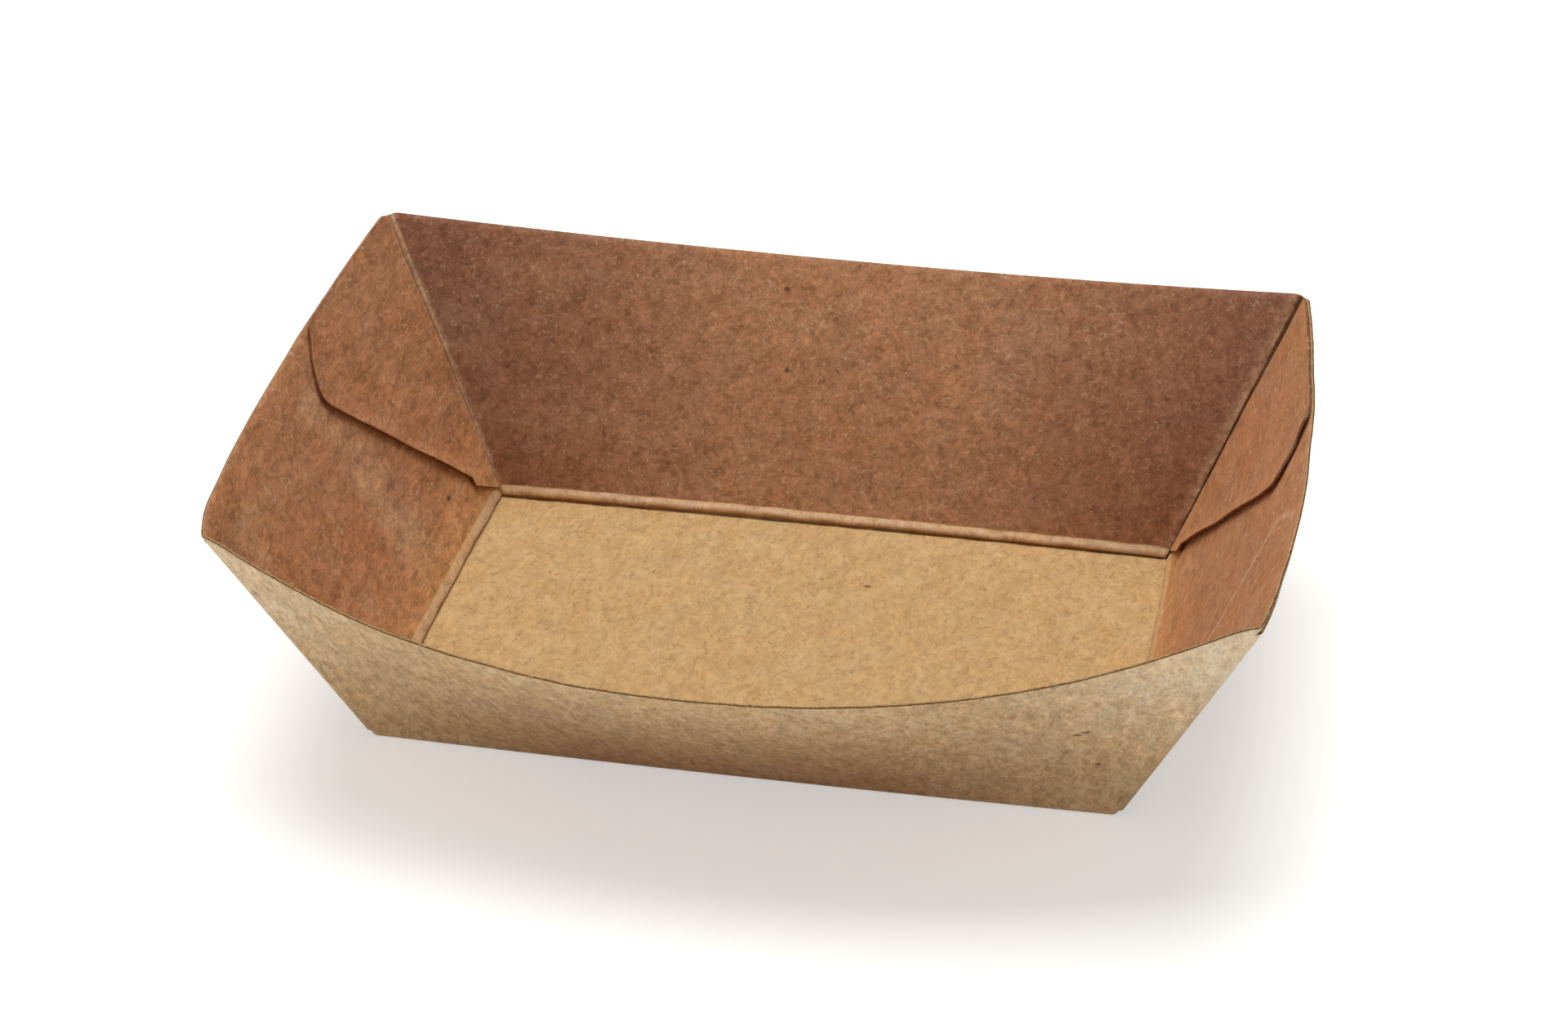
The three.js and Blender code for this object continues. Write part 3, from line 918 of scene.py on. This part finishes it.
# the outer face's colour: painted shade low in the middle of the near wall, painted light towards its top
# ends
def outsideColour(tree, toEnd, height, paintedLight):
    middle = span(tree, toEnd, *zones["lowShadeAlong"], 1.0, 0.0)
    low = calc(tree, "MULTIPLY", middle, span(tree, height, *zones["lowShadeUp"], 1.0, 0.0))
    shadedLow = mixColour(tree, low, solid(finish["outside"]), solid(finish["outsideShadeAndStreaks"]))
    return mixColour(tree, paintedLight, shadedLow, solid(finish["outsidePaintedLight"]))


def barkChips(tree, place):
    chips = 0.0
    for spot, reach in bark:
        offset = calcVector(tree, "DIVIDE", calcVector(tree, "SUBTRACT", place, spot), reach)
        distance = addNode(tree, "VectorMath", {0: offset}, operation="LENGTH").outputs["Value"]
        chips = calc(tree, "MAXIMUM", chips, span(tree, distance, *shown["barkEdge"], shown["bark"], 0.0))
    return chips


def linkSurface(tree, shader, pulp, bump, distance):
    relief = addNode(tree, "Bump", {"Height": bump, "Strength": 1.0, "Distance": distance * mm})
    tree.links.new(pulp.outputs["Colour"], shader.inputs["Base Color"])
    tree.links.new(pulp.outputs["Roughness"], shader.inputs["Roughness"])
    tree.links.new(relief.outputs[0], shader.inputs["Normal"])


def kraftBoardMaterial():
    material, tree, shader = newMaterial("kraftBoard")
    names = ("outside", "wall", "end", "bead", "seam", "press")
    outside, onWall, onEnd, bead, seam, press = [mark(tree, name) for name in names]
    place = inMillimetres(tree)
    axes = addNode(tree, "SeparateXYZ", {0: place}).outputs
    lengthwise, height = axes["X"], axes["Z"]
    toEnd = calc(tree, "ABSOLUTE", lengthwise)
    # painted light towards the top of the near wall's two ends
    paintedLight = span(tree, toEnd, *zones["paintedLightAlong"], *shown["paintedLight"])
    paintedLight = calc(tree, "MULTIPLY", paintedLight, span(tree, height, *zones["paintedLightUp"], 0.0, 1.0))
    paintedLightSide = span(tree, lengthwise, *zones["leftToRight"], *shown["paintedLightSides"])
    paintedLight = calc(tree, "MULTIPLY", paintedLight, paintedLightSide)
    streakPlace = calcVector(tree, "MULTIPLY", place, fibre["streakGrain"])
    streaks = calc(tree, "MULTIPLY", noise(tree, streakPlace, "streaks"), outside)
    streaks = calc(tree, "MULTIPLY", streaks, span(tree, height, *zones["streaksUp"], *shown["streaksUp"]))

    # the board's colour, face by face, with the walls' painted shade and the near wall's painted shade and
    # light, then its streaks, its beads paled by wear and painted light, and painted shade in its creases
    colour = mixColour(tree, onWall, solid(finish["base"]), insideColour(tree, onEnd, toEnd, height))
    colour = mixColour(tree, outside, colour, outsideColour(tree, toEnd, height, paintedLight))
    for overlay, strength, tone in (
        (streaks, "streaks", "outsideShadeAndStreaks"),
        (bead, "wornAndLitCrest", "wornAndLitCrest"),
        (seam, "seam", "seam"),
    ):
        colour = mixColour(tree, calc(tree, "MULTIPLY", overlay, shown[strength]), colour, solid(finish[tone]))

    # the line that the flap behind presses into an end wall, with a painted highlight along it
    width = span(tree, lengthwise, *zones["leftToRight"], *shown["pressWidth"])
    ridge = span(tree, calc(tree, "DIVIDE", calc(tree, "ABSOLUTE", press), width), 0.0, 1.0, 1.0, 0.0)
    ridge = calc(tree, "MULTIPLY", ridge, ridge)
    pressed = calc(tree, "MULTIPLY", ridge, span(tree, lengthwise, *zones["leftToRight"], *shown["pressed"]))
    colour = mixColour(tree, pressed, colour, solid(finish["wornAndLitCrest"]))
    colour = mixColour(tree, barkChips(tree, place), colour, solid(finish["bark"]))

    # how the pulp shows on each face
    smoother = calc(tree, "MULTIPLY", outside, span(tree, paintedLight, *zones["paintedLightMask"], *shown["smoother"]))
    mottled = calc(tree, "SUBTRACT", 1.0, smoother)
    mottled = calc(tree, "MULTIPLY", mottled, span(tree, onWall, *zones["wallMask"], *shown["mottle"]))
    onRightEnd = calc(tree, "MULTIPLY", onEnd, lengthwise)
    calmer = span(tree, onRightEnd, *zones["rightEnd"], 1.0, shown["rightEndMottle"])
    mottled = calc(tree, "MULTIPLY", mottled, calmer)
    innerWall = calc(tree, "MULTIPLY", onWall, calc(tree, "SUBTRACT", 1.0, outside))
    climbing = calc(tree, "GREATER_THAN", onWall, zones["wallFrom"])
    grain = mixColour(tree, climbing, solid(fibre["baseGrain"]), solid((1, 1, 1)))
    grain = mixColour(tree, onEnd, grain, solid(fibre["endGrain"]))
    grain = mixColour(tree, outside, grain, solid(fibre["outsideGrain"]))
    pulp = addNode(tree, "Group", {}, node_tree=fibres)
    fed = {
        "Colour": colour,
        "Mottle": mottled,
        "Dark": span(tree, outside, 0.0, 1.0, 1.0, shown["outsideDark"]),
        "Light": span(tree, innerWall, 0.0, 1.0, shown["calmLight"], 1.0),
        "Grain": grain,
    }
    for name, value in fed.items():
        tree.links.new(value, pulp.inputs[name])
    bump = calc(tree, "MULTIPLY_ADD", ridge, shown["pressRelief"], pulp.outputs["Height"])
    bump = calc(tree, "MULTIPLY_ADD", streaks, shown["streakRelief"], bump)
    linkSurface(tree, shader, pulp, bump, finish["relief"])
    return material


def cutEdgeMaterial():
    material, tree, shader = newMaterial("cutEdge")
    shader.inputs["Specular IOR Level"].default_value = finish["cutSpecular"]
    ragged = noise(tree, inMillimetres(tree), "ragged")
    unevenness = calc(tree, "SUBTRACT", ragged, 0.5)
    depth = calc(tree, "MULTIPLY_ADD", unevenness, fibre["ragged"], mark(tree, "across"))
    # darker towards the outer face, partly as the die's burnish and partly as painted shade
    darker = span(tree, depth, *fibre["cutDarkens"], 0.0, 1.0)
    pulp = addNode(tree, "Group", cutPulp, node_tree=fibres)
    colour = mixColour(tree, darker, solid(finish["cutLight"]), solid(finish["cutDark"]))
    tree.links.new(colour, pulp.inputs["Colour"])
    linkSurface(tree, shader, pulp, ragged, finish["cutRelief"])
    return material


shell = Shell()
foldSheet(shell)
for endWall in (leftWall, rightWall):
    foldFlap(shell, endWall, backFlap, 1, 1)
    foldFlap(shell, endWall, frontFlap, -1, -1)
foldedTray = shell.build("folded_tray", [kraftBoardMaterial(), cutEdgeMaterial()])
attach(foldedTray, "root")
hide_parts("tray")
print("tray folded:", 2 * len(foldedTray.data.polygons), "triangles")

# where the photograph was taken from, and how the studio is lit
studio = {
    "target": (0, 0, 0.020),
    "azimuth": 12.653,
    "elevation": 32.138,
    "roll": -1.411,
    "distance": 0.50135,
    "lens": 78.81,
    "shift": (0.00075, 0.01293),
    "floorHalf": 2.5,
    "floorDrop": 0.05 * mm,  # keeps it clear of the tray's underside
    "floorRoughness": 0.9,
    "floorColour": (0.86, 0.86, 0.85),
    "floorGlow": 0.45,
    "skyStrength": 0.2,
    "keyPower": 8.9,
    "keySize": 0.75,
    "keyPlace": (-0.08, 0.24, 0.93),
    "fillPower": 2.3,
    "fillSize": (0.9, 0.25),
    "fillPlace": (-0.1, -0.8, 0.08),
}


def placeCamera():
    azimuth, elevation = math.radians(studio["azimuth"]), math.radians(studio["elevation"])
    level = math.cos(elevation)
    back = Vector((math.sin(azimuth) * level, -math.cos(azimuth) * level, math.sin(elevation)))
    camera = bpy.data.objects.new("camera", bpy.data.cameras.new("camera"))
    camera.data.lens = studio["lens"]
    camera.data.shift_x, camera.data.shift_y = studio["shift"]
    camera.rotation_mode = "QUATERNION"
    turn = Quaternion((0, 0, 1), math.radians(studio["roll"]))
    camera.rotation_quaternion = (-back).to_track_quat("-Z", "Y") @ turn
    camera.location = Vector(studio["target"]) + back * studio["distance"]
    bpy.context.collection.objects.link(camera)
    bpy.context.scene.camera = camera


def seenDirectly(tree):  # 1 for what the camera sees, straight or in a reflection
    rays = addNode(tree, "LightPath")
    seen = calc(tree, "ADD", rays.outputs["Is Camera Ray"], rays.outputs["Is Glossy Ray"])
    return calc(tree, "MINIMUM", calc(tree, "ADD", seen, rays.outputs["Is Transmission Ray"]), 1.0)


def placeFloor():
    mesh = bpy.data.meshes.new("floor")
    half = studio["floorHalf"]
    outline = [(-half, -half, 0), (half, -half, 0), (half, half, 0), (-half, half, 0)]
    mesh.from_pydata(outline, [], [(0, 1, 2, 3)])
    floor = bpy.data.objects.new("floor", mesh)
    floor.location.z = -studio["floorDrop"]
    bpy.context.collection.objects.link(floor)
    material, tree, shader = newMaterial("paleFloor")
    shader.inputs["Base Color"].default_value = solid(studio["floorColour"])
    shader.inputs["Roughness"].default_value = studio["floorRoughness"]
    shader.inputs["Emission Color"].default_value = (1, 1, 1, 1)
    glow = calc(tree, "MULTIPLY", seenDirectly(tree), studio["floorGlow"])
    tree.links.new(glow, shader.inputs["Emission Strength"])
    mesh.materials.append(material)


def placeSky():
    world = bpy.data.worlds.new("studio")
    bpy.context.scene.world = world
    world.use_nodes = True
    tree = world.node_tree
    strength = span(tree, seenDirectly(tree), 0.0, 1.0, studio["skyStrength"], 1.0)
    tree.links.new(strength, tree.nodes["Background"].inputs["Strength"])
    tree.nodes["Background"].inputs["Color"].default_value = (1, 1, 1, 1)


def placeSoftbox(name, power, size, place, aim=(0, 0, 0)):
    light = bpy.data.lights.new(name, "AREA")
    light.shape = "RECTANGLE"
    light.size, light.size_y = size
    light.energy = power
    lamp = bpy.data.objects.new(name, light)
    lamp.location = place
    lamp.rotation_euler = (Vector(aim) - Vector(place)).to_track_quat("-Z", "Y").to_euler()
    bpy.context.collection.objects.link(lamp)


placeCamera()
placeFloor()
placeSky()
placeSoftbox("keyLight", studio["keyPower"], (studio["keySize"], studio["keySize"]), studio["keyPlace"])
placeSoftbox("fillLight", studio["fillPower"], studio["fillSize"], studio["fillPlace"])
bpy.context.scene.view_settings.view_transform = "Standard"
print("studio ready")
